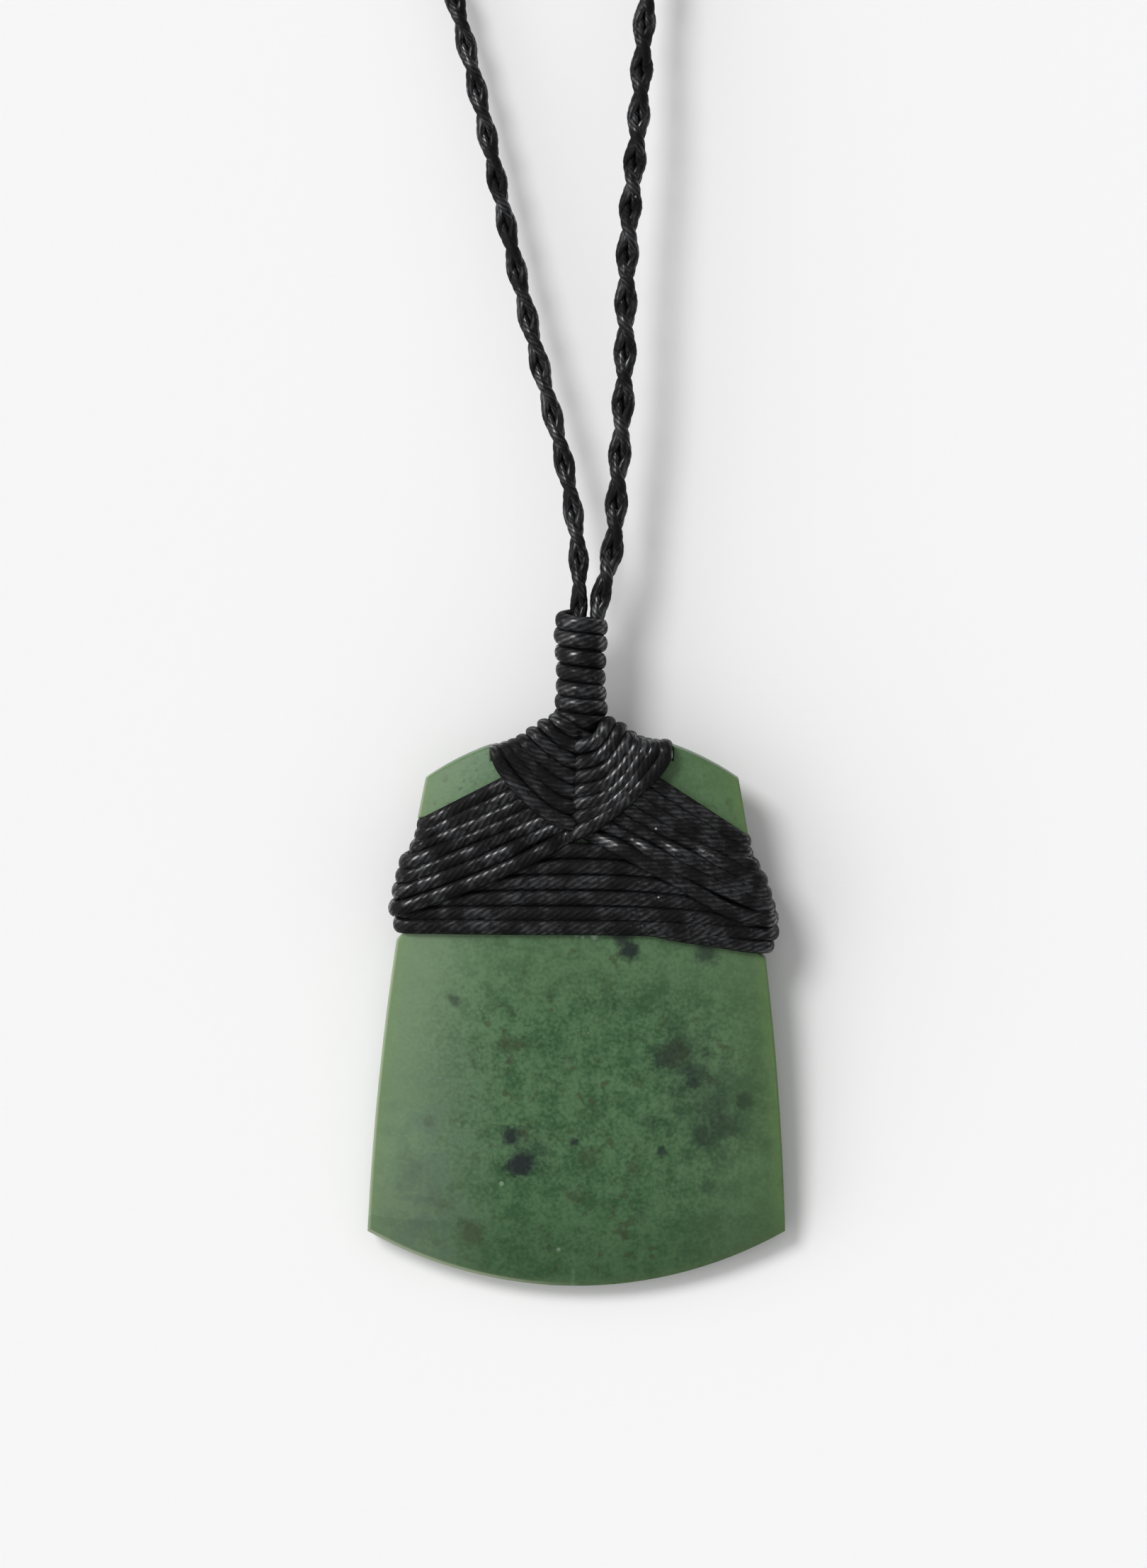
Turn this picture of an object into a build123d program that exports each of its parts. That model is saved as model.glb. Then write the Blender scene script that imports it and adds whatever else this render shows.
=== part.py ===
from build123d import *
import math
import os

# A greenstone adze pendant on a plaited neck cord, lying on a flat surface.
# Millimetres. X runs across the blade, Y from its cutting edge to the nape, Z up from the surface.
# The blade and its binding are drawn in the blade's own frame: x across, y up from the middle of the
# cutting edge, z out of the front face from the mid plane. They are then laid down with a small tilt.

# Stone blade
BLADE_LENGTH = 49.4
EDGE_WIDTH = 37.0
EDGE_RISE = 4.9
EDGE_SHIFT = -0.5
POLL_WIDTH = 27.6
POLL_DROP = 4.3
SIDE_BOW = 0.8
BLADE_THICKNESS = 4.6
THICKEST_FROM_EDGE = 22.0
LONG_CROWN_RADIUS = 640.0
CROSS_CROWN_RADIUS = 165.0
EDGE_THICKNESS = 1.1
BEVEL_LENGTH = 9.0
EDGE_ROUND = 0.2

# Waxed binding cord: its size, the gap between turns that cross, and the gap to the stone
CORD_DIAMETER = 1.05
CORD_GAP = 0.1
SEAT_GAP = 0.08

# Notches for the binding: how deep the floor of each side notch lies at the lowest and the highest
# turn, the saddle across the poll, and the gap from the last turn to the end of a notch
SIDE_NOTCH_LOW_DEPTH = 0.6
SIDE_NOTCH_HIGH_DEPTH = 0.95
SADDLE_DEPTH = 0.5
SADDLE_SLOPE = 0.31
END_GAP = 0.05

# Level turns, measured down from the poll: the highest one, and the pitch from turn to turn
BAND_COUNT = 6
BAND_TOP_DROP = {"left": 11.75, "middle": 10.75, "right": 13.35}
BAND_PITCH = {"left": 1.19, "middle": 1.31, "right": 1.19}
BAND_SHARES = (1, 0.66, 0.33)

# Cross turns, measured down from the poll: the lowest one at each side and at the middle of the face
CROSS_COUNT = 6
CROSS_LOW_DROP = {"left": 15.5, "right": 17.0}
CROSS_PITCH = {"left": 1.42, "right": 1.42}
APEX_LOW_DROP = 8.8
APEX_PITCH = 1.42
APEX_SLOPE = 0.55
APEX_RADIUS = 1.5
FRONT_SHARES = (0.33, 0.6, 0.86)
BACK_SLOPE = 0.36

# How a cross turn rises onto the level turns: the length of the rise, how far above the highest of
# them it has risen, how far from the side it is up at the latest, and the least gap between stations
RISE_RUN = 2.2
RISE_CLEARANCE = 0.8
RISE_LEAD = 1.6
STATION_GAP = 1.1

# Where the cross turns come over the shoulders of the poll, and the V that they make on the front
SHOULDER_FIRST = 1.78
SHOULDER_PITCH = 1.11
V_TIP_ANGLE = 30.0
V_SHOULDER_ANGLE = 58.0
V_TIP_RADIUS = 1.5
V_LIMB_RADIUS = 4.0
V_LEAST_RUN = 1.6
V_LEVEL = 1.12
FRONT_POLL_RADIUS = 1.6

# Whipping above the blade, from the lowest turn up
NECK_LIFT = 1.75
NECK_PITCH = 1.33
NECK_TURN_HEIGHT = 1.24
NECK_TURN_DIAMETERS = [5.3, 4.75, 4.45, 4.5, 4.8, 5.05, 4.7]
CORE_DIAMETER = 2.1

# Plaited neck cords. Each point of a route is the distance across, the distance on from the whipping
# and the height of the cord's middle above the surface. The first point is where the cord leaves.
PLAIT_DIAMETER = 1.7
PLAIT_FLOOR = PLAIT_DIAMETER / 2
EXIT_LEFT = -0.9
EXIT_RIGHT = 0.9
EXIT_GAP = 0.35
NAPE_GAP = 0.1
LEFT_ROUTE = [
    (-0.5, 5.0, 5.0),
    (-1.5, 13.0, 4.6),
    (-4.0, 22.5, 4.1),
    (-6.3, 33.0, 3.6),
    (-8.6, 44.0, 3.1),
    (-11.6, 56.0, 2.3),
    (-16.2, 73.0, 1.2),
    (-23.5, 96.0, PLAIT_FLOOR),
    (-34.5, 123.0, PLAIT_FLOOR),
    (-47.0, 152.0, PLAIT_FLOOR),
    (-57.0, 182.0, PLAIT_FLOOR),
    (-60.5, 213.0, PLAIT_FLOOR),
    (-54.5, 241.0, PLAIT_FLOOR),
    (-39.0, 261.5, PLAIT_FLOOR),
    (-17.0, 270.5, PLAIT_FLOOR),
    (-NAPE_GAP / 2, 270.5, PLAIT_FLOOR),
]
RIGHT_ROUTE = [
    (1.5, 4.5, 5.1),
    (3.1, 11.0, 5.2),
    (3.8, 20.5, 5.4),
    (4.0, 32.5, 5.3),
    (5.0, 44.0, 4.8),
    (5.7, 55.5, 3.9),
    (9.0, 73.0, 1.9),
    (17.5, 96.0, PLAIT_FLOOR),
    (29.5, 123.0, PLAIT_FLOOR),
    (43.0, 152.0, PLAIT_FLOOR),
    (54.5, 182.0, PLAIT_FLOOR),
    (60.0, 213.0, PLAIT_FLOOR),
    (55.0, 241.0, PLAIT_FLOOR),
    (39.5, 261.5, PLAIT_FLOOR),
    (17.0, 270.5, PLAIT_FLOOR),
    (NAPE_GAP / 2, 270.5, PLAIT_FLOOR),
]

# Where the cutting edge lies, so that the middle of the whole necklace is at the origin, and how many
# times its tilt on the surface is worked out
EDGE_Y = -165.3
TILT_TRIALS = 4

SIDES = {"left": -1, "right": 1}
SEAT = CORD_DIAMETER / 2 + SEAT_GAP
STACK = CORD_DIAMETER + CORD_GAP
CORNER_RADIUS = SEAT + EDGE_ROUND
CORNER_HEIGHT = BLADE_LENGTH - POLL_DROP
SADDLE_TOP = BLADE_LENGTH - SADDLE_DEPTH
SADDLE_HALF_WIDTH = SHOULDER_FIRST + (CROSS_COUNT - 1) * SHOULDER_PITCH + SEAT + END_GAP
LOW_TURN_Y = {
    side: BLADE_LENGTH - BAND_TOP_DROP[side] - (BAND_COUNT - 1) * BAND_PITCH[side] for side in SIDES
}
HIGH_TURN_Y = {
    side: BLADE_LENGTH - CROSS_LOW_DROP[side] + (CROSS_COUNT - 1) * CROSS_PITCH[side] for side in SIDES
}


def side_x(side, y):
    """Distance from the blade's middle line to one side edge, signed, at height y."""
    share = (y - EDGE_RISE) / (CORNER_HEIGHT - EDGE_RISE)
    half = (1 - share) * EDGE_WIDTH / 2 + share * POLL_WIDTH / 2 + 4 * SIDE_BOW * share * (1 - share)
    return EDGE_SHIFT * (1 - share) + SIDES[side] * half


def notch_x(side, y):
    """Distance from the blade's middle line to the floor of a side notch, signed, at height y."""
    share = (y - LOW_TURN_Y[side]) / (HIGH_TURN_Y[side] - LOW_TURN_Y[side])
    depth = SIDE_NOTCH_LOW_DEPTH + (SIDE_NOTCH_HIGH_DEPTH - SIDE_NOTCH_LOW_DEPTH) * share
    return side_x(side, y) - SIDES[side] * depth


def crown_height(y):
    """Height of the front face above the mid plane along the blade's middle line."""
    drop = LONG_CROWN_RADIUS - math.sqrt(LONG_CROWN_RADIUS**2 - (y - THICKEST_FROM_EDGE) ** 2)
    return BLADE_THICKNESS / 2 - drop


def face_z(x, y):
    """Height of the front face above the mid plane."""
    radius = CROSS_CROWN_RADIUS - BLADE_THICKNESS / 2 + crown_height(y)
    return BLADE_THICKNESS / 2 - CROSS_CROWN_RADIUS + math.sqrt(radius**2 - x**2)


def saddle_y(x):
    """Height of the poll under the binding."""
    return SADDLE_TOP - SADDLE_SLOPE * max(0.0, abs(x) - CORE_DIAMETER / 2)


def cord_z(x, y, level):
    """Middle of a cord on the front face: level 0 lies on the stone, level 1 on a cord."""
    return face_z(x, min(y, SADDLE_TOP)) + SEAT + level * STACK


def corner_x(side, y, level):
    """Middle of a cord where it goes round the floor of a side notch."""
    return notch_x(side, y) + SIDES[side] * (SEAT + level * STACK)


def band_y(turn, side, x):
    """Height of a level turn on one half of the face. Turn 0 is the highest."""
    middle = BLADE_LENGTH - BAND_TOP_DROP["middle"] - turn * BAND_PITCH["middle"]
    edge = BLADE_LENGTH - BAND_TOP_DROP[side] - turn * BAND_PITCH[side]
    return middle + (edge - middle) * (x / corner_x(side, edge, 0)) ** 2


def fair_radii(points, caps, closed):
    """Bend radius at each corner of a route, as large as its two runs allow."""
    radii = []
    corners = range(len(points)) if closed else range(1, len(points) - 1)
    for i in corners:
        before = Vector(*points[i]) - Vector(*points[i - 1])
        after = Vector(*points[(i + 1) % len(points)]) - Vector(*points[i])
        half_turn = math.radians(before.get_angle(after)) / 2
        largest = 0.45 * min(before.length, after.length) / math.tan(half_turn)
        radii.append(min(largest, caps.get(i, largest)))
    return radii


def cord_ring(name, stations):
    """A closed turn of cord through stations of (x, y, z, largest bend radius or None)."""
    points = [station[:3] for station in stations]
    caps = {i: station[3] for i, station in enumerate(stations) if station[3]}
    with BuildLine() as path:
        FilletPolyline(*points, radius=fair_radii(points, caps, True), close=True)
    runs = path.wire().edges()
    middle = len(runs) // 2
    with BuildPart() as turn:
        for half in (Wire(runs[:middle]), Wire(runs[middle:])):
            with BuildSketch(Plane(origin=half @ 0, z_dir=half % 0)):
                Circle(CORD_DIAMETER / 2)
            sweep(path=half)
    turn.part.label = name
    return turn


# The blade: two crowned faces, cut to its outline, thinned to the cutting edge and notched
with BuildPart() as toki_blade:
    low_y = -BEVEL_LENGTH
    high_y = BLADE_LENGTH + BEVEL_LENGTH
    for face in (1, -1):
        with BuildSketch(Plane.YZ):
            with BuildLine():
                crown = ThreePointArc(
                    (low_y, face * crown_height(low_y)),
                    (THICKEST_FROM_EDGE, face * BLADE_THICKNESS / 2),
                    (high_y, face * crown_height(high_y)),
                )
                Polyline(
                    crown @ 1,
                    (high_y, -face * BLADE_THICKNESS),
                    (low_y, -face * BLADE_THICKNESS),
                    crown @ 0,
                )
            make_face()
        revolve(
            axis=Axis((0, 0, face * (BLADE_THICKNESS / 2 - CROSS_CROWN_RADIUS)), (0, 1, 0)),
            mode=Mode.ADD if face == 1 else Mode.INTERSECT,
        )
    with BuildSketch():
        with BuildLine():
            middle_y = (EDGE_RISE + CORNER_HEIGHT) / 2
            edge_left = (side_x("left", EDGE_RISE), EDGE_RISE)
            edge_right = (side_x("right", EDGE_RISE), EDGE_RISE)
            poll_left = (side_x("left", CORNER_HEIGHT), CORNER_HEIGHT)
            poll_right = (side_x("right", CORNER_HEIGHT), CORNER_HEIGHT)
            ThreePointArc(edge_left, (EDGE_SHIFT, 0), edge_right)
            ThreePointArc(edge_right, (side_x("right", middle_y), middle_y), poll_right)
            ThreePointArc(poll_right, (0, BLADE_LENGTH), poll_left)
            ThreePointArc(poll_left, (side_x("left", middle_y), middle_y), edge_left)
        make_face()
        # A shallow notch in each side for the turns, which runs out at 45 degrees under the lowest one
        for side, sign in SIDES.items():
            low_end = LOW_TURN_Y[side] - SEAT * (math.sqrt(2) - 1) - END_GAP
            high_end = HIGH_TURN_Y[side] + SEAT + END_GAP
            run_out = low_end - abs(side_x(side, low_end) - notch_x(side, low_end))
            with BuildLine():
                Polyline(
                    (side_x(side, run_out) + sign * SEAT, run_out - SEAT),
                    (notch_x(side, low_end), low_end),
                    (notch_x(side, high_end), high_end),
                    (side_x(side, high_end) + sign * SEAT, high_end),
                    close=True,
                )
            make_face(mode=Mode.SUBTRACT)
        # A saddle across the poll
        with BuildLine():
            Polyline(
                (-SADDLE_HALF_WIDTH, BLADE_LENGTH + SADDLE_DEPTH),
                (-SADDLE_HALF_WIDTH, saddle_y(SADDLE_HALF_WIDTH)),
                (-CORE_DIAMETER / 2, SADDLE_TOP),
                (CORE_DIAMETER / 2, SADDLE_TOP),
                (SADDLE_HALF_WIDTH, saddle_y(SADDLE_HALF_WIDTH)),
                (SADDLE_HALF_WIDTH, BLADE_LENGTH + SADDLE_DEPTH),
                close=True,
            )
        make_face(mode=Mode.SUBTRACT)
    extrude(amount=BLADE_THICKNESS, both=True, mode=Mode.INTERSECT)

    # The rims of both faces are eased along the sides and the poll. The cutting edge stays crisp.
    walls = [face for face in toki_blade.faces() if abs(face.normal_at(0.5, 0.5).Z) < 0.1]
    rims = [edge for face in walls for edge in face.edges() if abs((edge % 0.5).Z) < 0.9]
    rims = [edge for edge in rims if (edge @ 0.5).Y > EDGE_RISE]
    fillet(rims, EDGE_ROUND)

    # Both faces curve in to the cutting edge, all along its arc
    edge_radius = ((EDGE_WIDTH / 2) ** 2 + EDGE_RISE**2) / (2 * EDGE_RISE)
    bevel_drop = crown_height(BEVEL_LENGTH) - EDGE_THICKNESS / 2
    bevel_radius = (BEVEL_LENGTH**2 + bevel_drop**2) / (2 * bevel_drop)
    half_angle = math.asin(BEVEL_LENGTH / bevel_radius) / 2
    for face in (1, -1):
        with BuildSketch(Plane.YZ.offset(EDGE_SHIFT)):
            with BuildLine():
                bevel = ThreePointArc(
                    (0, face * EDGE_THICKNESS / 2),
                    (
                        BEVEL_LENGTH - bevel_radius * math.sin(half_angle),
                        face * (crown_height(BEVEL_LENGTH) - bevel_radius * (1 - math.cos(half_angle))),
                    ),
                    (BEVEL_LENGTH, face * crown_height(BEVEL_LENGTH)),
                )
                Polyline(
                    bevel @ 1,
                    (BEVEL_LENGTH, face * BLADE_THICKNESS),
                    (-EDGE_THICKNESS, face * BLADE_THICKNESS),
                    (-EDGE_THICKNESS, face * EDGE_THICKNESS / 2),
                    bevel @ 0,
                )
            make_face()
        revolve(axis=Axis((EDGE_SHIFT, edge_radius, 0), (0, 0, 1)), mode=Mode.SUBTRACT)
toki_blade.part.label = "toki_blade"

laid_parts = [toki_blade]

# Level turns of cord round the blade, in the side notches
for turn in range(BAND_COUNT):
    front = []
    across = [("left", share) for share in BAND_SHARES] + [("right", 0)]
    across += [("right", share) for share in reversed(BAND_SHARES)]
    for side, share in across:
        edge_x = corner_x(side, band_y(turn, side, corner_x(side, CORNER_HEIGHT, 0)), 0)
        x = share * edge_x
        y = band_y(turn, side, x)
        if share == 1:
            x = corner_x(side, y, 0)
            front.append((x, y, cord_z(x - SIDES[side] * SEAT, y, 0), CORNER_RADIUS))
        else:
            front.append((x, y, cord_z(x, y, 0), None))
    back = [(x, y, -z, radius) for x, y, z, radius in reversed(front)]
    laid_parts.append(cord_ring(f"band_wrap_{turn + 1}", front + back))


def route_length(route):
    """Length of a route of straight runs."""
    return sum(math.dist(start, end) for start, end in zip(route, route[1:]))


def point_along(route, run):
    """Point at a distance along a route of straight runs, and its last point beyond its end."""
    for start, end in zip(route, route[1:]):
        step = math.dist(start, end)
        if run <= step:
            return tuple(a + (b - a) * run / step for a, b in zip(start, end))
        run -= step
    return route[-1]


def climbing_run(side, route, kept):
    """Stations along a route out to a side notch, rising where it comes over the level turns."""
    high = route_length(route) - RISE_LEAD
    while point_along(route, high)[1] - band_y(0, side, point_along(route, high)[0]) < RISE_CLEARANCE:
        high -= CORD_GAP
    edge_x, edge_y = route[-1]
    edge_level = 1 if edge_y - band_y(0, side, edge_x) < STACK else 0
    for run in kept:
        if abs(run - high) < STATION_GAP:
            high = run - STATION_GAP if run > high else run
    low = high - RISE_RUN if high > RISE_RUN + STATION_GAP else 0
    for run in kept:
        if abs(run - low) < STATION_GAP:
            low = run - STATION_GAP if run > low else run
    runs = set(kept)
    if edge_level == 1:
        runs |= {high} if low == 0 else {low, high}
    stations = []
    for run in sorted(runs):
        x, y = point_along(route, run)
        level = edge_level * min(max((run - low) / (high - low), 0), 1)
        stations.append((x, y, cord_z(x, y, level), None))
    out = SIDES[side] * edge_level * STACK
    corner_z = cord_z(edge_x - SIDES[side] * SEAT, edge_y, edge_level)
    stations.append((edge_x + out, edge_y, corner_z, CORNER_RADIUS + edge_level * STACK / 2))
    return stations


# Cross turns: each one comes over both shoulders of the poll and meets in a V on the front, then goes
# down the back to both sides, round the side notches, and rises to the middle of the front
for turn in range(CROSS_COUNT):
    tip_y = BLADE_LENGTH - APEX_LOW_DROP + (CROSS_COUNT - 1 - turn) * APEX_PITCH
    apex_y = BLADE_LENGTH - APEX_LOW_DROP + turn * APEX_PITCH
    halves = {}
    for side, sign in SIDES.items():
        edge_y = BLADE_LENGTH - CROSS_LOW_DROP[side] + turn * CROSS_PITCH[side]
        edge_x = corner_x(side, edge_y, 0)
        shoulder_x = SHOULDER_FIRST + turn * SHOULDER_PITCH
        shoulder_y = saddle_y(shoulder_x) + SEAT * math.sqrt(1 + SADDLE_SLOPE**2)
        tip_slope = math.tan(math.radians(V_TIP_ANGLE))
        end_slope = math.tan(math.radians(V_SHOULDER_ANGLE))
        limb_x = (shoulder_y - tip_y - end_slope * shoulder_x) / (tip_slope - end_slope)
        limb_y = tip_y + tip_slope * limb_x

        over = [
            (sign * shoulder_x, shoulder_y, cord_z(shoulder_x, shoulder_y, V_LEVEL), FRONT_POLL_RADIUS),
            (sign * shoulder_x, shoulder_y, -cord_z(shoulder_x, shoulder_y, 0), CORNER_RADIUS),
        ]
        if math.dist((limb_x, limb_y), (shoulder_x, shoulder_y)) > V_LEAST_RUN:
            over.insert(0, (sign * limb_x, limb_y, cord_z(limb_x, limb_y, V_LEVEL), V_LIMB_RADIUS))
        bend_y = edge_y + BACK_SLOPE * (abs(edge_x) - shoulder_x)
        back = [(sign * shoulder_x, shoulder_y), (sign * shoulder_x, bend_y), (edge_x, edge_y)]
        bend_run = shoulder_y - bend_y
        down = climbing_run(side, back, [bend_run, bend_run + math.dist(*back[1:]) / 2])
        down = [(x, y, -z, radius) for x, y, z, radius in down]
        sag = edge_y - apex_y + APEX_SLOPE * abs(edge_x)
        shares = [step / 40 for step in range(41)]
        front = [(edge_x * s, apex_y - APEX_SLOPE * abs(edge_x) * s + sag * s**2) for s in shares]
        across = climbing_run(side, front, [route_length(front) * share for share in FRONT_SHARES])
        halves[side] = over + down + across[::-1]
    tip = (0.0, tip_y, cord_z(0, tip_y, V_LEVEL), V_TIP_RADIUS)
    apex = (0.0, apex_y, cord_z(0, apex_y, 0), APEX_RADIUS)
    stations = [tip] + halves["right"] + [apex] + halves["left"][::-1]
    laid_parts.append(cord_ring(f"cross_wrap_{turn + 1}", stations))

# The gathered ends of the neck cords, from the poll to the top of the whipping
neck_low = SADDLE_TOP + SEAT_GAP
neck_high = SADDLE_TOP + NECK_LIFT + (len(NECK_TURN_DIAMETERS) - 0.5) * NECK_PITCH
with BuildPart() as neck_core:
    with BuildSketch(Plane.XZ.offset(-neck_low)):
        Circle(CORE_DIAMETER / 2)
    extrude(amount=neck_low - neck_high)
neck_core.part.label = "neck_core"
laid_parts.append(neck_core)

# Turns of the whipping, pressed flat against each other
for turn, diameter in enumerate(NECK_TURN_DIAMETERS):
    with BuildPart() as neck_turn:
        with BuildSketch():
            with Locations(((diameter - CORD_DIAMETER) / 2, SADDLE_TOP + NECK_LIFT + turn * NECK_PITCH)):
                Ellipse(CORD_DIAMETER / 2, NECK_TURN_HEIGHT / 2)
        revolve(axis=Axis.Y)
    neck_turn.part.label = f"neck_turn_{turn + 1}"
    laid_parts.append(neck_turn)

# The blade rests on the back of its binding and on the start of its bevel
rest_span = BLADE_LENGTH - BAND_TOP_DROP["middle"] - BEVEL_LENGTH
tilt = 0.0
for trial in range(TILT_TRIALS):
    laid = [part.part.moved(Location((0, 0, 0), (tilt, 0, 0))) for part in laid_parts]
    lowest = [solid.bounding_box().min.Z for solid in laid]
    tilt += math.degrees(math.atan((lowest[0] - min(lowest[1:])) / rest_span))
for part in laid_parts:
    part.part = part.part.moved(Location((0, 0, 0), (tilt, 0, 0)))
lift = -min(part.part.bounding_box().min.Z for part in laid_parts)
print(f"tilt {tilt:.2f} degrees, lift {lift:.3f} mm")
os.makedirs("parts", exist_ok=True)
for part in laid_parts:
    label = part.part.label
    part.part = part.part.moved(Location((0, EDGE_Y, lift)))
    export_step(part.part, f"parts/{label}.step")

# Plaited neck cords, from the top of the whipping round to the nape
exit_y = EDGE_Y + (neck_high + EXIT_GAP) * math.cos(math.radians(tilt))
exit_z = lift + (neck_high + EXIT_GAP) * math.sin(math.radians(tilt))
print(f"cords leave the whipping at y {exit_y:.3f}, z {exit_z:.3f}")
for name, exit_x, route in (("left_plait", EXIT_LEFT, LEFT_ROUTE), ("right_plait", EXIT_RIGHT, RIGHT_ROUTE)):
    points = [(exit_x, exit_y, exit_z)] + [(x, exit_y + on, height) for x, on, height in route]
    radii = fair_radii(points, {}, False)
    with BuildPart() as plait:
        with BuildLine() as path:
            FilletPolyline(*points, radius=radii)
        with BuildSketch(Plane(origin=path.line @ 0, z_dir=path.line % 0)):
            Circle(PLAIT_DIAMETER / 2)
        sweep()
    plait.part.label = name
    length = path.wire().length
    section = math.pi * PLAIT_DIAMETER**2 / 4
    print(f"{name} length {length:.1f}, volume over section {plait.part.volume / section:.1f}")
    print("  radii", [round(radius, 1) for radius in radii])
    export_step(plait.part, f"parts/{name}.step")
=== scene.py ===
import math

import bmesh
import bpy
from mathutils import Matrix, Vector


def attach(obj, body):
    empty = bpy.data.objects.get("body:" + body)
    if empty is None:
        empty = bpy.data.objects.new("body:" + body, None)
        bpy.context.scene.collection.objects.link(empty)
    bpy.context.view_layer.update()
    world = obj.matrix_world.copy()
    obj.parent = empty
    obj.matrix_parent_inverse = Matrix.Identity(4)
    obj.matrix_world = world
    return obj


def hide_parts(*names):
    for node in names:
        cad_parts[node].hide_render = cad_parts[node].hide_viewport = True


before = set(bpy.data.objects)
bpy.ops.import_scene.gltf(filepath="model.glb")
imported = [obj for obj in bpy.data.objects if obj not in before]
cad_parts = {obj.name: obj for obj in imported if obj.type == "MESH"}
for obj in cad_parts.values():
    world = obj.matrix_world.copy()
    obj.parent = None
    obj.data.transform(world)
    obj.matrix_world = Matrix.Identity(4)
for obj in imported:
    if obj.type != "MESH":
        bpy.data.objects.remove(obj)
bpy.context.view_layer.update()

# Camera: it looks straight down on the pendant from well above, so the blade keeps its outline.
# The photograph's scale at the blade's face is 16 pixels to a millimetre, and its frame is upright.
MM = 0.001
PHOTO_HIGH = 2214
PHOTO_SCALE = 16
PHOTO_MIDDLE = (810, 1107)
PHOTO_EDGE = (822, 1818)
EDGE_Y = -165.3
CAMERA_HEIGHT = 650
FACE_HEIGHT = 5
SENSOR = 36
NEAREST = 10

lens = bpy.data.cameras.new("camera")
lens.sensor_fit = "VERTICAL"
lens.sensor_height = SENSOR
lens.lens = SENSOR * CAMERA_HEIGHT * PHOTO_SCALE / PHOTO_HIGH
lens.clip_start = NEAREST * MM
camera = bpy.data.objects.new("camera", lens)
camera.location = Vector((
    (PHOTO_MIDDLE[0] - PHOTO_EDGE[0]) / PHOTO_SCALE,
    (PHOTO_EDGE[1] - PHOTO_MIDDLE[1]) / PHOTO_SCALE + EDGE_Y,
    CAMERA_HEIGHT + FACE_HEIGHT,
)) * MM
bpy.context.scene.collection.objects.link(camera)
bpy.context.scene.camera = camera
bpy.context.scene.view_settings.view_transform = "Standard"


# Plaited neck cords: two four-strand round plaits of thin waxed cord. They leave the whipping above
# the blade side by side, sink to the paper and meet at the nape, so they make one loop with no clasp.
EXIT_Y = -0.105826
PLAIT_REST = 0.00112
LEFT_ROUTE = [
    (-0.0004, -0.0025, 0.0059),
    (-0.0002, 0.0015, 0.0062),
    (-0.0003, 0.0060, 0.0059),
    (-0.0014, 0.0130, 0.0050),
    (-0.0039, 0.0225, 0.0045),
    (-0.0064, 0.0330, 0.0040),
    (-0.0087, 0.0440, 0.0036),
    (-0.0116, 0.0560, 0.0027),
    (-0.0162, 0.0730, 0.0014),
    (-0.0235, 0.0960, PLAIT_REST),
    (-0.0345, 0.1230, PLAIT_REST),
    (-0.0470, 0.1520, PLAIT_REST),
    (-0.0570, 0.1820, PLAIT_REST),
    (-0.0605, 0.2130, PLAIT_REST),
    (-0.0545, 0.2410, PLAIT_REST),
    (-0.0390, 0.2615, PLAIT_REST),
    (-0.0170, 0.2705, PLAIT_REST),
    (0.0, 0.2705, PLAIT_REST),
]
RIGHT_ROUTE = [
    (0.0011, -0.0025, 0.0059),
    (0.0014, 0.0010, 0.0062),
    (0.0028, 0.0055, 0.0057),
    (0.0031, 0.0110, 0.0056),
    (0.0038, 0.0205, 0.0062),
    (0.0039, 0.0325, 0.0063),
    (0.0051, 0.0440, 0.0058),
    (0.0056, 0.0555, 0.0046),
    (0.0090, 0.0730, 0.0023),
    (0.0175, 0.0960, PLAIT_REST),
    (0.0295, 0.1230, PLAIT_REST),
    (0.0430, 0.1520, PLAIT_REST),
    (0.0545, 0.1820, PLAIT_REST),
    (0.0600, 0.2130, PLAIT_REST),
    (0.0550, 0.2410, PLAIT_REST),
    (0.0395, 0.2615, PLAIT_REST),
    (0.0170, 0.2705, PLAIT_REST),
    (0.0, 0.2705, PLAIT_REST),
]
STRAND_STEP = 0.36
STRAND_SIDES = 10
PLAIT_PITCH = 8.52
PLAIT_RADIUS = 0.50
PLAIT_SWAY = 0.16
STRAND_WIDE = 1.08
STRAND_HIGH = 0.80
LEFT_TIGHTNESS = 0.86
RIGHT_TIGHTNESS = 1.0
# The strands are drawn together where they leave the whipping
LEG_LENGTH = 8.0
LEG_TIGHTNESS = 0.62
# The plaiting is uneven: its turns run ahead and fall behind by a little
WANDER = 0.28
WANDER_PITCH = 7.3
WANDER_START = 30
CURVE_FINENESS = 16
WELD = 0.001
WAX_BLACK = (0.0022, 0.0022, 0.0028, 1)
WAX_BLOOM = (0.011, 0.012, 0.015, 1)
DUST_GREY = (0.30, 0.31, 0.30, 1)
CORD_GLOSS = 0.14
COAT_ROUGHNESS = 0.27
COAT_IOR = 1.65


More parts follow.
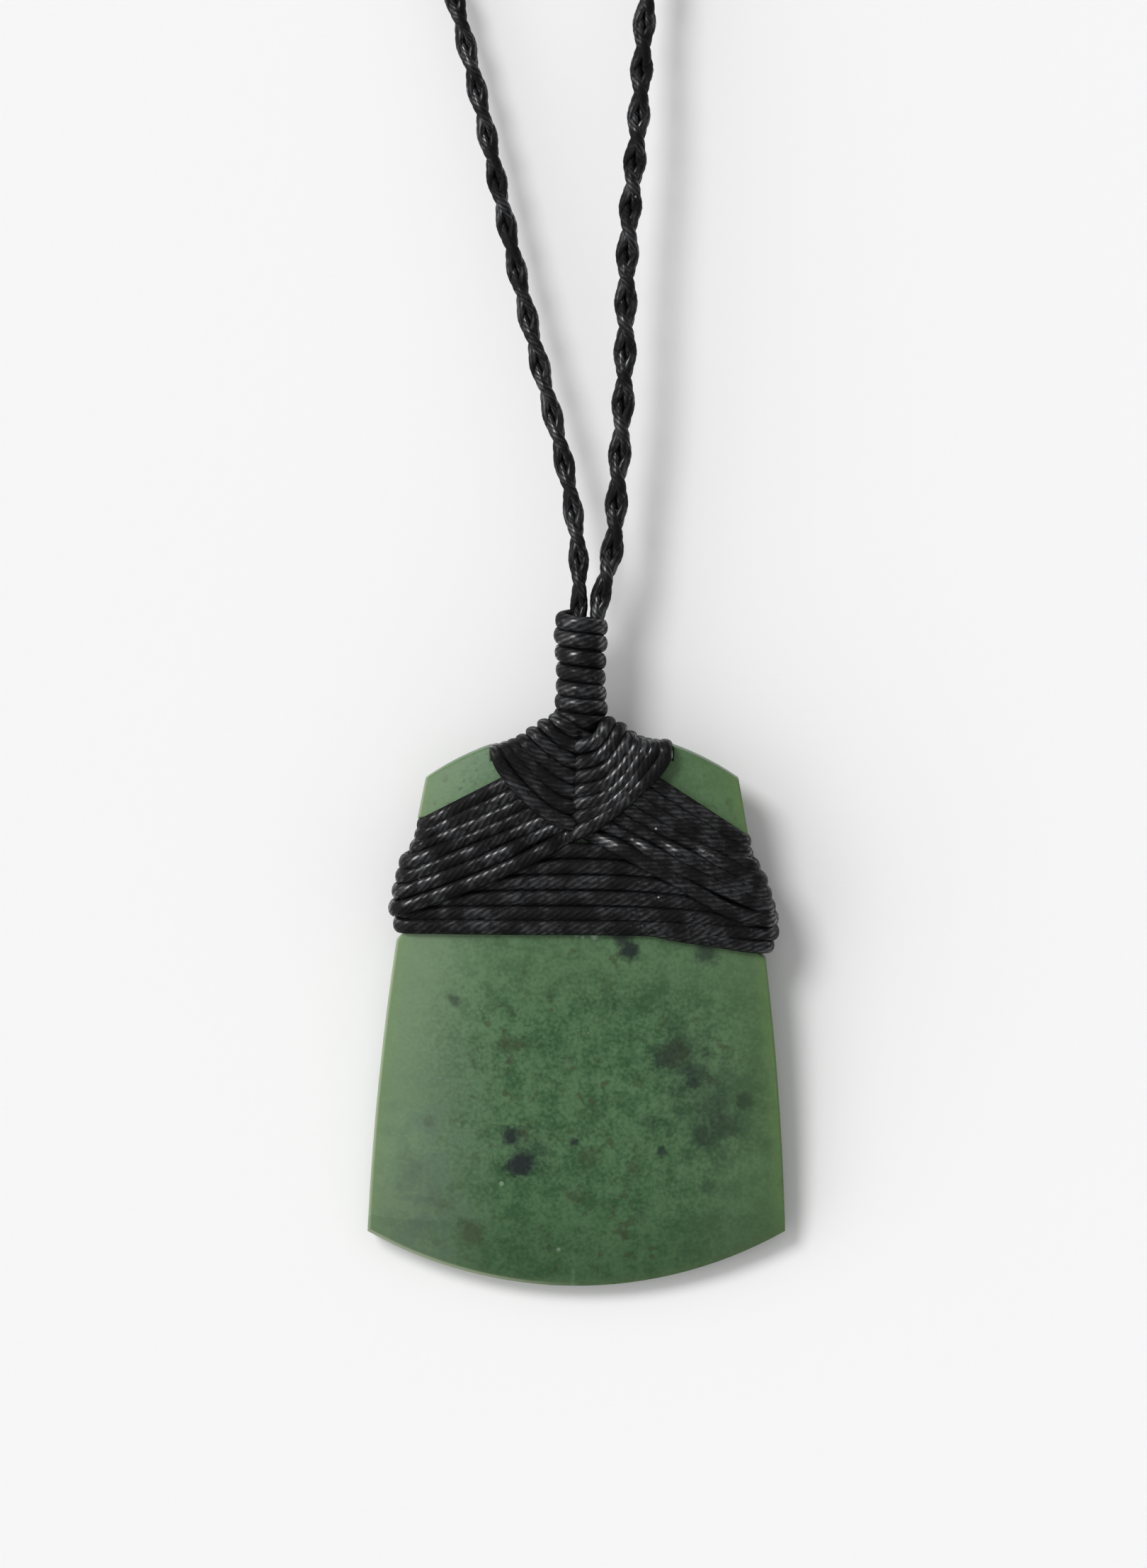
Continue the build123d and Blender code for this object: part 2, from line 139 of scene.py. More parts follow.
def soft_line(points, step, closed=False):
    """Places one step apart along the smooth line that a cord takes past these points."""
    curve = bpy.data.curves.new("line", "CURVE")
    curve.dimensions = "3D"
    curve.resolution_u = CURVE_FINENESS
    spline = curve.splines.new("NURBS")
    spline.points.add(len(points) - 1)
    for knot, place in zip(spline.points, points):
        knot.co = (*place, 1)
    spline.use_cyclic_u = closed
    spline.order_u = 3
    spline.use_endpoint_u = not closed
    holder = bpy.data.objects.new("line", curve)
    mesh = bpy.data.meshes.new_from_object(holder)
    raw = [vertex.co.copy() for vertex in mesh.vertices]
    bpy.data.objects.remove(holder)
    bpy.data.curves.remove(curve)
    bpy.data.meshes.remove(mesh)
    if closed:
        raw.append(raw[0].copy())
    runs = [(end - start).length for start, end in zip(raw, raw[1:])]
    count = max(8, round(sum(runs) / step))
    line, passed, run = [], 0.0, 0
    for i in range(count + 1):
        wanted = sum(runs) * i / count
        while run < len(runs) - 1 and passed + runs[run] < wanted:
            passed += runs[run]
            run += 1
        line.append(raw[run].lerp(raw[run + 1], min(1, (wanted - passed) / runs[run])))
    return line


def cord_piece(name, lines, sides, closed=False):
    """One mesh of cords. A line is a list of (middle, outward, width, height) along one cord."""
    bm = bmesh.new()
    uv = bm.loops.layers.uv.new("UVMap")
    for line in lines:
        made = bmesh.ops.create_grid(
            bm, x_segments=sides, y_segments=len(line) - 1, size=1, calc_uvs=True
        )
        middles = [station[0] for station in line]
        length = sum((end - start).length for start, end in zip(middles, middles[1:]))
        for loop in {loop for vertex in made["verts"] for loop in vertex.link_loops}:
            loop[uv].uv.y *= length / MM
        for row, (middle, outward, wide, high) in enumerate(line):
            if closed:
                along = middles[(row + 1) % (len(line) - 1)] - middles[(row - 1) % (len(line) - 1)]
            else:
                along = middles[min(row + 1, len(line) - 1)] - middles[max(row - 1, 0)]
            along.normalize()
            outward = (outward - outward.dot(along) * along).normalized()
            across = outward.cross(along)
            for column in range(sides + 1):
                turn = math.tau * column / sides
                vertex = made["verts"][row * (sides + 1) + column]
                vertex.co = middle - outward * (high / 2 * math.cos(turn))
                vertex.co += across * (wide / 2 * math.sin(turn))
        bmesh.ops.remove_doubles(bm, verts=made["verts"], dist=WELD * MM)
    open_edges = [edge for edge in bm.edges if edge.is_boundary]
    if open_edges:
        bmesh.ops.holes_fill(bm, edges=open_edges)
    for face in bm.faces:
        face.smooth = True
    mesh = bpy.data.meshes.new(name)
    bm.to_mesh(mesh)
    bm.free()
    piece = bpy.data.objects.new(name, mesh)
    bpy.context.scene.collection.objects.link(piece)
    return piece


def ease(low, high, value):
    """0 below low and 1 above high, with a smooth rise between."""
    share = min(max((value - low) / (high - low), 0), 1)
    return share * share * (3 - 2 * share)


def plait_strands(line, tightness):
    """The four strands of a plait, from the whipping to the nape: two turn one way, two the other."""
    count = len(line)
    length = sum((end - start).length for start, end in zip(line, line[1:])) / MM
    strands = []
    for way in (1, -1):
        for start in (0, math.pi):
            strand = []
            for i, middle in enumerate(line):
                along = (line[min(i + 1, count - 1)] - line[max(i - 1, 0)]).normalized()
                side = along.cross(Vector((0, 0, 1))).normalized()
                up = side.cross(along)
                run = length * i / (count - 1)
                to_nape = length - run
                wander = WANDER * math.sin(to_nape / WANDER_PITCH) * ease(0, WANDER_START, to_nape)
                angle = way * (math.tau * to_nape / PLAIT_PITCH + wander) + start
                leg = LEG_TIGHTNESS + (1 - LEG_TIGHTNESS) * ease(0, LEG_LENGTH, run)
                sway = -way * PLAIT_SWAY * math.cos(2 * angle)
                reach = (PLAIT_RADIUS - sway) * leg * tightness
                outward = side * math.cos(angle) + up * math.sin(angle)
                grip = 0.5 + 0.5 * tightness
                strand.append((
                    middle + outward * (reach * MM), outward,
                    STRAND_WIDE * grip * MM, STRAND_HIGH * grip * MM,
                ))
            strands.append(strand)
    return strands


def routed(route):
    """A route's points, measured on from where the cords leave the whipping, in their real place."""
    return [(x, EXIT_Y + on, z) for x, on, z in route]


class Shade:
    """A socket of a material. Sums and products of shades add their own nodes."""

    def __init__(self, tree, socket=None):
        self.tree = tree
        self.socket = socket

    def node(self, kind, settings=None, inputs=None, output=0):
        """A new node with its settings and the values or links of its sockets, as one of its outputs."""
        made = self.tree.nodes.new(kind)
        for name, value in (settings or {}).items():
            setattr(made, name, value)
        for name, value in (inputs or {}).items():
            if isinstance(value, Shade):
                value.into(made.inputs[name])
            else:
                made.inputs[name].default_value = value
        return Shade(self.tree, made.outputs[output])

    def into(self, socket):
        """Links this to the socket of a shader or another node."""
        self.tree.links.new(self.socket, socket)

    def math(self, operation, first, second=0.0):
        """A Math node on one value or two."""
        return self.node("ShaderNodeMath", {"operation": operation}, {0: first, 1: second})

    def __add__(self, other):
        return self.math("ADD", self, other)

    __radd__ = __add__

    def __mul__(self, other):
        return self.math("MULTIPLY", self, other)

    __rmul__ = __mul__

    def __sub__(self, other):
        return self.math("SUBTRACT", self, other)

    def __rsub__(self, other):
        return self.math("SUBTRACT", other, self)

    def hypot(self, other):
        """The length of the slope whose run is this and whose rise is other."""
        return self.math("SQRT", self * self + other * other)

    def noise(self, place, scale, detail, roughness=0.5):
        """Cloudy noise round 0.5 at a place."""
        inputs = {"Vector": place, "Scale": scale, "Detail": detail, "Roughness": roughness}
        return self.node("ShaderNodeTexNoise", None, inputs)

    def band(self, low, high):
        """0 where this is below low and 1 above high, or the other way round if low is the larger."""
        rise = {"interpolation_type": "SMOOTHSTEP"}
        return self.node("ShaderNodeMapRange", rise, {"Value": self, "From Min": low, "From Max": high})

    def blend(self, first, second):
        """A colour from first to second as this goes from 0 to 1."""
        colours = {"data_type": "RGBA"}
        return self.node("ShaderNodeMix", colours, {"Factor": self, 6: first, 7: second}, 2)


def new_finish(name):
    """A new material, as its shader node and a Shade to build with."""
    material = bpy.data.materials.new(name)
    material.use_nodes = True
    tree = material.node_tree
    return material, tree.nodes["Principled BSDF"], Shade(tree)


def waxed_cord(name, thread_count, thread_pitch, thread_depth):
    """Black waxed cord: fine threads laid round it, a dull wax film with paler bloom, and dust."""
    material, shader, shade = new_finish(name)
    # The map of a cord goes round it from 0 to 1, and along it in millimetres
    uv = shade.node("ShaderNodeUVMap", {"uv_map": "UVMap"})
    around = shade.node("ShaderNodeSeparateXYZ", None, {0: uv})
    along = shade.node("ShaderNodeSeparateXYZ", None, {0: uv}, 1)
    place = shade.node("ShaderNodeTexCoord", output=3)
    drift = shade.noise(place, scale=700.0, detail=2.0)
    turned = around * thread_count + along * (1 / thread_pitch) + drift * 0.5
    thread = shade.math("SINE", turned * math.tau) * 0.5 + 0.5
    stretched = shade.node("ShaderNodeCombineXYZ", None, {0: around * 9.0, 1: along * 1.3, 2: turned * 0.8})
    fibre = shade.noise(stretched, scale=1.0, detail=4.0)
    grain = shade.noise(place, scale=3400.0, detail=3.0)
    bloom = shade.noise(place, scale=420.0, detail=5.0)
    cells = shade.node("ShaderNodeTexVoronoi", None, {"Vector": place, "Scale": 620.0})
    chosen = shade.noise(place, scale=190.0, detail=2.0)
    dust = cells.band(0.075, 0.035) * chosen.band(0.54, 0.58)
    film = bloom.band(0.42, 0.66) * fibre.band(0.40, 0.64)
    dust.blend(film.blend(WAX_BLACK, WAX_BLOOM), DUST_GREY).into(shader.inputs["Base Color"])
    rough = 0.62 - film * 0.16 - thread * 0.06 + dust * 0.2
    rough.into(shader.inputs["Roughness"])
    wax = bloom.band(0.38, 0.60) * (thread.band(0.25, 0.85) * 0.8 + 0.2) * fibre.band(0.32, 0.58)
    wax.into(shader.inputs["Coat Weight"])
    relief = thread * thread_depth + fibre * 0.10 + grain * 0.04
    bump = shade.node("ShaderNodeBump", None, {"Height": relief, "Distance": MM, "Strength": 0.9})
    bump.into(shader.inputs["Normal"])
    shader.inputs["Specular IOR Level"].default_value = CORD_GLOSS
    shader.inputs["Coat Roughness"].default_value = COAT_ROUGHNESS
    shader.inputs["Coat IOR"].default_value = COAT_IOR
    return material


plait_finish = waxed_cord("plait_wax", thread_count=7, thread_pitch=0.9, thread_depth=0.03)
for name, route, tightness in (
    ("left_plait", LEFT_ROUTE, LEFT_TIGHTNESS),
    ("right_plait", RIGHT_ROUTE, RIGHT_TIGHTNESS),
):
    line = soft_line(routed(route), STRAND_STEP * MM)
    plait = cord_piece(f"{name}_strands", plait_strands(line, tightness), STRAND_SIDES)
    plait.data.materials.append(plait_finish)
    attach(plait, "root")
    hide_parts(name)


# Paper and light: the necklace lies on smooth white paper. A large soft lamp stands high on the left,
# behind the blade's poll. A bright wall, low on the left, gives the cords and the stone their sheen.
PAPER_SIZE = 1200
PAPER_WHITE = (0.88, 0.88, 0.88, 1)
PAPER_TOOTH = 0.02
LAMP_LEAN = (-0.60, 0.60, 1.0)
LAMP_SPREAD = 22
LAMP_POWER = 1.65
WALL_LEAN = (-0.90, 0.00, 0.35)
WALL_EDGES = (0.70, 0.97)
ROOM_DIM = 0.47
ROOM_BRIGHT = 2.1

bm = bmesh.new()
bmesh.ops.create_grid(bm, x_segments=1, y_segments=1, size=PAPER_SIZE * MM)
paper_mesh = bpy.data.meshes.new("paper")
bm.to_mesh(paper_mesh)
bm.free()
paper = bpy.data.objects.new("paper", paper_mesh)
bpy.context.scene.collection.objects.link(paper)
material, shader, shade = new_finish("paper_white")
place = shade.node("ShaderNodeTexCoord", output=3)
tooth = shade.noise(place, scale=900.0, detail=3.0)
bump = shade.node("ShaderNodeBump", None, {"Height": tooth, "Distance": MM, "Strength": PAPER_TOOTH})
bump.into(shader.inputs["Normal"])
shader.inputs["Base Color"].default_value = PAPER_WHITE
shader.inputs["Roughness"].default_value = 1.0
shader.inputs["Specular IOR Level"].default_value = 0.0
paper.data.materials.append(material)

lamp = bpy.data.lights.new("lamp", "SUN")
lamp.energy = LAMP_POWER
lamp.angle = math.radians(LAMP_SPREAD)
lamp_stand = bpy.data.objects.new("lamp", lamp)
lamp_stand.rotation_euler = Vector(LAMP_LEAN).to_track_quat("Z", "Y").to_euler()
bpy.context.scene.collection.objects.link(lamp_stand)

room = bpy.data.worlds.new("room")
room.use_nodes = True
shade = Shade(room.node_tree)
walls = room.node_tree.nodes["Background"]
directions = {0: shade.node("ShaderNodeTexCoord"), 1: Vector(WALL_LEAN).normalized()}
toward = shade.node("ShaderNodeVectorMath", {"operation": "DOT_PRODUCT"}, directions, "Value")
glow = toward.band(*WALL_EDGES) * (ROOM_BRIGHT - ROOM_DIM) + ROOM_DIM
glow.into(walls.inputs["Strength"])
walls.inputs["Color"].default_value = (1.0, 1.0, 1.0, 1)
bpy.context.scene.world = room


# Stone blade: one piece of greenstone, a nephrite jade, ground and rubbed to a satin face. Its body is
# mottled green with dark inclusions, and it lets light through where it is thin, so its rim is yellower.
TILT = 4.34
LIFT = 1.555
BLADE_LENGTH = 49.4
EDGE_WIDTH = 37.0
EDGE_RISE = 4.9
EDGE_SHIFT = -0.5
POLL_WIDTH = 27.6
POLL_DROP = 4.3
SIDE_BOW = 0.8
LEFT_ROLL = (13.0, 1.7)
RIGHT_ROLL = (4.0, 0.25)
POLL_ROLL = (5.0, 0.40)
RIM_WIDTH = 1.6
STONE_GLOSS = 0.36
DARK_GREEN = (0.020, 0.066, 0.021, 1)
MID_GREEN = (0.072, 0.150, 0.066, 1)
GRAIN_GREEN = (0.012, 0.042, 0.015, 1)
POLL_SHEEN_GREEN = (0.085, 0.165, 0.060, 1)
LOW_GREEN = (0.020, 0.066, 0.020, 1)
HIGH_GREEN = (0.100, 0.180, 0.085, 1)
RIGHT_GREEN = (0.105, 0.165, 0.085, 1)
LEFT_SHEEN_GREEN = (0.20, 0.28, 0.17, 1)
BLUISH_GREEN = (0.050, 0.085, 0.062, 1)
BROWN = (0.030, 0.036, 0.013, 1)
SPECK_PALE = (0.22, 0.28, 0.20, 1)
RIM_YELLOW = (0.125, 0.215, 0.070, 1)
SIDE_YELLOW = (0.075, 0.150, 0.048, 1)
EDGE_YELLOW = (0.080, 0.130, 0.050, 1)
EDGE_GLINT_PALE = (0.33, 0.37, 0.26, 1)
# Brown spots, dark inclusions and pale flecks. Each row is one spot: its place across from the middle
# line and up from the cutting edge and its radius, in millimetres, and how strong it is.
BROWN_SPOTS = [
    (-6.50, 21.50, 0.94, 0.50), (-6.25, 20.12, 0.56, 0.50), (-9.62, 4.75, 1.38, 0.50),
    (8.12, 20.62, 1.38, 0.55), (0.69, 11.62, 0.88, 0.35), (4.44, 10.56, 0.75, 0.30),
    (-0.62, 8.00, 0.88, 0.35), (11.44, 18.19, 0.62, 0.40), (-13.50, 14.56, 0.56, 0.35),
    (-1.25, 20.06, 0.56, 0.25), (7.25, 23.44, 0.62, 0.25), (2.19, 26.69, 0.75, 0.25),
]
INCLUSIONS = [
    (11.75, 16.44, 4.69, 0.26), (8.62, 20.50, 3.00, 0.30), (-4.62, 12.25, 2.12, 0.32),
    (-14.50, 7.38, 3.75, 0.18), (3.62, 30.81, 0.94, 0.85), (4.25, 29.81, 1.12, 0.95),
    (10.94, 29.44, 1.19, 0.70), (-11.25, 25.38, 0.50, 0.50), (7.38, 20.50, 1.25, 0.35),
    (10.19, 18.94, 1.25, 0.45), (9.75, 18.00, 0.56, 0.50), (11.62, 15.81, 1.38, 0.35),
    (12.69, 14.25, 1.25, 0.40), (10.81, 13.31, 0.81, 0.45), (14.38, 16.44, 0.69, 0.65),
    (-6.25, 13.19, 1.19, 0.95), (-5.50, 11.06, 1.25, 0.97), (-0.69, 12.88, 0.44, 0.85),
    (7.06, 12.06, 0.50, 0.75), (5.75, 14.81, 0.81, 0.35), (5.19, 6.00, 1.06, 0.20),
    (11.31, 8.62, 0.81, 0.30), (3.00, 24.88, 0.62, 0.20), (-15.31, 10.50, 1.62, 0.15),
]
FLECKS = [
    (1.06, 31.12, 0.38, 0.80), (0.06, 30.94, 0.19, 0.50), (-0.50, 31.06, 0.19, 0.40),
    (-7.12, 9.12, 0.19, 0.50), (-2.06, 3.25, 0.19, 0.40),
]
SPOT_KINDS = [
    (BROWN_SPOTS, (0.026, 0.030, 0.011, 1)),
    (INCLUSIONS, (0.004, 0.010, 0.010, 1)),
    (FLECKS, (0.30, 0.38, 0.30, 1)),
]
SPOT_INSIDE = 0.40
SPOT_OUTSIDE = 1.30

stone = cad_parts["toki_blade"]
material, shader, shade = new_finish("greenstone")
place = shade.node("ShaderNodeTexCoord", output=3)
x = shade.node("ShaderNodeSeparateXYZ", None, {0: place}) * (1 / MM)
y = shade.node("ShaderNodeSeparateXYZ", None, {0: place}, 1) * (1 / MM) - EDGE_Y
share = (y - EDGE_RISE) * (1 / (BLADE_LENGTH - POLL_DROP - EDGE_RISE))
half = (1 - share) * (EDGE_WIDTH / 2) + share * (POLL_WIDTH / 2) + share * (1 - share) * (4 * SIDE_BOW)
off_middle = x - (1 - share) * EDGE_SHIFT
from_side = half - shade.math("ABSOLUTE", off_middle)
edge_radius = ((EDGE_WIDTH / 2) ** 2 + EDGE_RISE**2) / (2 * EDGE_RISE)
from_edge = edge_radius - (x - EDGE_SHIFT).hypot(y - edge_radius)
poll_radius = ((POLL_WIDTH / 2) ** 2 + POLL_DROP**2) / (2 * POLL_DROP)
from_poll = poll_radius - x.hypot(y - (BLADE_LENGTH - poll_radius))

# Mottled body
cloud = shade.noise(place, scale=120.0, detail=5.0, roughness=0.6)
mottle = shade.noise(place, scale=560.0, detail=5.0, roughness=0.6)
fine = shade.noise(place, scale=2900.0, detail=3.0)
stain = shade.noise(place, scale=900.0, detail=3.0)
tone = cloud * 0.22 + mottle * 0.43 + fine * 0.35
body = tone.band(0.38, 0.62).blend(DARK_GREEN, MID_GREEN)
body = (mottle.band(0.60, 0.74) * 0.45).blend(body, GRAIN_GREEN)
# Painted sheen at the poll and on the left side; darker at the cutting edge, paler below the binding and to
# the right
# Painted sheen: lighter and yellower at the poll, most on its right shoulder
body = (y.band(40.0, 48.0) * x.band(-4.0, 8.0) * 0.4).blend(body, POLL_SHEEN_GREEN)
body = (y.band(15.0, 0.0) * 0.42).blend(body, LOW_GREEN)
body = (y.band(24.0, 29.0) * 0.3).blend(body, HIGH_GREEN)
body = (off_middle.band(6.0, 16.0) * 0.3).blend(body, RIGHT_GREEN)
# Painted sheen: lighter and greyer toward the left side, which faces the lamp and the bright wall
body = (off_middle.band(-6.0, -17.5) * 0.52).blend(body, LEFT_SHEEN_GREEN)
# Brown stains all over, and a bluish haze low on the left
body = (stain.band(0.58, 0.68) * cloud.band(0.46, 0.60) * 0.6).blend(body, BROWN)
haze = off_middle.band(-6.0, -13.0) * y.band(26.0, 12.0) * mottle.band(0.4, 0.6)
body = (haze * 0.5).blend(body, BLUISH_GREEN)
# Spots with ragged edges, and tiny pale specks
ragged = (mottle - 0.5) * 1.7 + (cloud - 0.5) * 1.1 + (fine - 0.5) * 0.5
for spots, colour in SPOT_KINDS:
    for across, up, radius, strength in spots:
        far = (x - across).hypot(y - up) + ragged * radius
        body = (far.band(radius * SPOT_OUTSIDE, radius * SPOT_INSIDE) * strength).blend(body, colour)
cells = shade.node("ShaderNodeTexVoronoi", None, {"Vector": place, "Scale": 420.0})
body = (cells.band(0.05, 0.02) * cloud.band(0.5, 0.6) * 0.5).blend(body, SPECK_PALE)
# Yellower where the stone is thin, and a painted highlight along its outline on the left, where the edge
# catches the lamp
body = (from_side.band(RIM_WIDTH, 0.0) * 0.55).blend(body, RIM_YELLOW)
body = (from_side.band(5.5, 0.5) * 0.3).blend(body, SIDE_YELLOW)
body = (from_edge.band(0.9, 0.0) * 0.4).blend(body, EDGE_YELLOW)
edge_glint = shade.math("MINIMUM", from_side, from_edge).band(0.34, 0.10) * off_middle.band(2.0, -8.0)
body = (edge_glint * 0.6).blend(body, EDGE_GLINT_PALE)
body.into(shader.inputs["Base Color"])
satin = 0.42 + (fine - 0.5) * 0.24 + (mottle - 0.5) * 0.12
satin.into(shader.inputs["Roughness"])
# The face rolls off toward the sides and the poll
relief = fine * 0.022 + mottle * 0.018
to_left = off_middle.band(0.0, -0.5)
for distance, (width, depth), weight in (
    (from_side, LEFT_ROLL, to_left),
    (from_side, RIGHT_ROLL, 1 - to_left),
    (from_poll, POLL_ROLL, to_left * 0.4 + 0.6),
):
    inside = shade.math("MAXIMUM", 1 - distance * (1 / width), 0.0)
    relief = relief - inside * inside * weight * depth
bump = shade.node("ShaderNodeBump", None, {"Height": relief, "Distance": MM, "Strength": 1.0})
bump.into(shader.inputs["Normal"])
shader.inputs["Specular IOR Level"].default_value = STONE_GLOSS
stone.data.materials.clear()
stone.data.materials.append(material)


# Level turns: six turns of flattened black waxed cord, pulled tight round the blade in its side notches.
# The start of the cord lies below them on the right, and is tucked under the lowest one.
CORD_WIDE = 1.24
CORD_HIGH = 0.92
CORD_STEP = 0.30
CORD_SIDES = 14
BLADE_THICKNESS = 4.6
THICKEST_FROM_EDGE = 22.0
LONG_CROWN_RADIUS = 640.0
CROSS_CROWN_RADIUS = 165.0
NOTCH_LOW = {"left": 31.7, "right": 30.1}
NOTCH_HIGH = {"left": 41.0, "right": 39.5}
NOTCH_DEPTHS = (0.6, 0.95)
SADDLE_DROP = 0.5
SADDLE_SLOPE = 0.31
SADDLE_FLAT = 1.05
CORNER_EASE = 0.7
SIDES = {"left": -1, "right": 1}
BAND_WIDE = 1.44
BAND_MIDDLE = [38.9, 37.5, 36.13, 34.72, 33.35, 32.13]
BAND_ENDS = {
    "left": [38.0, 36.9, 35.7, 34.5, 33.3, 32.2],
    "right": [36.7, 35.7, 34.6, 33.5, 32.5, 31.5],
}
BAND_OUT = {"left": [0.0, 0.0, 0.0, 0.0, 0.1, 0.25], "right": [0.1, 0.2, 0.3, 0.4, 0.5, 1.25]}
BAND_HALF = 16.6
BAND_SHARES = (-1.0, -0.88, -0.6, -0.3, 0.0, 0.3, 0.6, 0.88, 1.0)
START_OUT = 0.64
START_DROP = 0.1
START_PATH = [(14.6, 30.4), (13.0, 30.7), (11.0, 31.05), (8.7, 31.35), (7.0, 31.75), (5.2, 32.1)]
SEAT = CORD_HIGH / 2
TINY = 1e-6
AS_IT_LIES = Matrix.Rotation(math.radians(TILT), 3, "X")


def laid(place):
    """A place in the blade's own frame, in millimetres, as it lies on the paper, in metres."""
    return (AS_IT_LIES @ Vector(place) + Vector((0, EDGE_Y, LIFT))) * MM


def face_z(x, y):
    """Height of the stone's front face above its mid plane."""
    drop = LONG_CROWN_RADIUS - math.sqrt(LONG_CROWN_RADIUS**2 - (y - THICKEST_FROM_EDGE) ** 2)
    radius = CROSS_CROWN_RADIUS - drop
    return BLADE_THICKNESS / 2 - CROSS_CROWN_RADIUS + math.sqrt(radius**2 - x**2)


def notch_x(side, y):
    """Distance from the middle line to the floor of a side notch, signed."""
    share = (y - EDGE_RISE) / (BLADE_LENGTH - POLL_DROP - EDGE_RISE)
    half = (1 - share) * EDGE_WIDTH / 2 + share * POLL_WIDTH / 2 + 4 * SIDE_BOW * share * (1 - share)
    along = (y - NOTCH_LOW[side]) / (NOTCH_HIGH[side] - NOTCH_LOW[side])
    depth = NOTCH_DEPTHS[0] + (NOTCH_DEPTHS[1] - NOTCH_DEPTHS[0]) * along
    return EDGE_SHIFT * (1 - share) + SIDES[side] * (half - depth)


def poll_y(x):
    """Height of the poll under the binding."""
    return BLADE_LENGTH - SADDLE_DROP - SADDLE_SLOPE * max(0.0, abs(x) - SADDLE_FLAT)


def band_y(turn, x):
    """Height of a level turn on the face. Turn 0 is the highest."""
    middle = BAND_MIDDLE[turn]
    edge = BAND_ENDS["left" if x < 0 else "right"][turn]
    return middle + (edge - middle) * (x / BAND_HALF) ** 2


def seated(place):
    """A place of a cord's middle, pushed out of the stone, and the direction out of the stone there."""
    x, y, z = place
    side = "left" if x < 0 else "right"
    face = 1 if z > 0 else -1
    out = Vector((
        max(SIDES[side] * (x - notch_x(side, min(y, BLADE_LENGTH))) + CORNER_EASE, 0) * SIDES[side],
        max(y - poll_y(x) + CORNER_EASE, 0),
        max(abs(z) - face_z(x, min(y, BLADE_LENGTH)) + CORNER_EASE, 0) * face,
    ))
    if out.length < TINY:
        out = Vector((0, 0, face * TINY))
    short = SEAT + CORNER_EASE - out.length
    outward = out.normalized()
    return Vector(place) + outward * max(short, 0), outward


def wound(points, wide, closed=True):
    """A turn of cord round the stone, near points in the blade's own frame, as it lies."""
    stations = []
    for place in soft_line([Vector(point) for point in points], CORD_STEP, closed):
        middle, outward = seated(place)
        stations.append((laid(middle), AS_IT_LIES @ outward, wide * MM, CORD_HIGH * MM))
    return stations


binding_finish = waxed_cord("binding_wax", thread_count=8, thread_pitch=0.8, thread_depth=0.03)
for turn in range(len(BAND_MIDDLE)):
    front = []
    for share in BAND_SHARES:
        side = "left" if share < 0 else "right"
        y_here = band_y(turn, share * BAND_HALF)
        reach = abs(notch_x(side, y_here)) + SEAT + (BAND_OUT[side][turn] if abs(share) == 1 else 0)
        x_here = share * reach
        front.append((x_here, y_here, face_z(share * BAND_HALF, y_here) + SEAT))
    back = [(x_here, y_here, -z_here) for x_here, y_here, z_here in reversed(front)]
    band = cord_piece(f"level_turn_{turn + 1}", [wound(front + back, BAND_WIDE)], CORD_SIDES, True)
    band.data.materials.append(binding_finish)
    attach(band, "root")
    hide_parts(f"band_wrap_{turn + 1}")

start_side = notch_x("right", START_PATH[0][1]) + SEAT + START_OUT
front = [(start_side, START_PATH[0][1] - START_DROP)] + START_PATH
front = [(x_here, y_here, face_z(x_here, y_here) + SEAT) for x_here, y_here in front]
back = [(x_here, y_here, -z_here) for x_here, y_here, z_here in reversed(front)]
start_turn = cord_piece("start_turn", [wound(back + front, CORD_WIDE, False)], CORD_SIDES)
start_turn.data.materials.append(binding_finish)
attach(start_turn, "root")


# Crossed turns: seven turns in a figure of eight over the poll. Each comes over one shoulder, crosses
# the middle of the front and goes round the far side, and the next comes over the other shoulder, so
# they lock in a herringbone. On the back they run straight from the sides up to the shoulders.
CROSS_COUNT = 7
CROSS_SOLIDS = 6
CROSS_WIDE = 1.36
# Where each turn comes over the poll and round the side, and how high it crosses the middle line
SHOULDERS = {
    "left": [(2.3, 50.6), (3.3, 50.1), (4.3, 49.4), (5.2, 48.75), (6.0, 48.35), (6.7, 48.1), (7.5, 47.9)],
    "right": [(2.3, 50.3), (3.3, 49.8), (4.2, 49.05), (5.05, 48.6), (5.8, 48.4), (6.5, 48.3), (7.3, 48.3)],
}
TIPS = {
    "left": [49.0, 47.7, 46.4, 45.1, 43.8, 42.45],
    "right": [48.2, 46.8, 45.5, 44.3, 43.15, 42.05],
}
SIDE_ENDS = {
    "left": [40.96, 40.0, 38.9, 37.6, 36.4, 35.1, 33.6],
    "right": [39.5, 38.3, 37.2, 36.0, 34.8, 33.7, 32.7],
}
SIDE_OUT = {
    "left": [0.0, 0.0, 0.2, 0.85, 0.9, 0.95, 0.95],
    "right": [0.22, 0.2, 0.6, 1.05, 1.2, 1.3, 1.4],
}
LIMB_SHARES = (0.9, 0.78, 0.66, 0.54, 0.42, 0.3, 0.15)
LIMB_BENDS = {"left": (1.2, 1.9), "right": (3.0, 1.9)}
LOWER_SHARES = (0.0, 0.08, 0.16, 0.3, 0.45, 0.6, 0.75, 0.88, 1.0)
SAG = 0.075
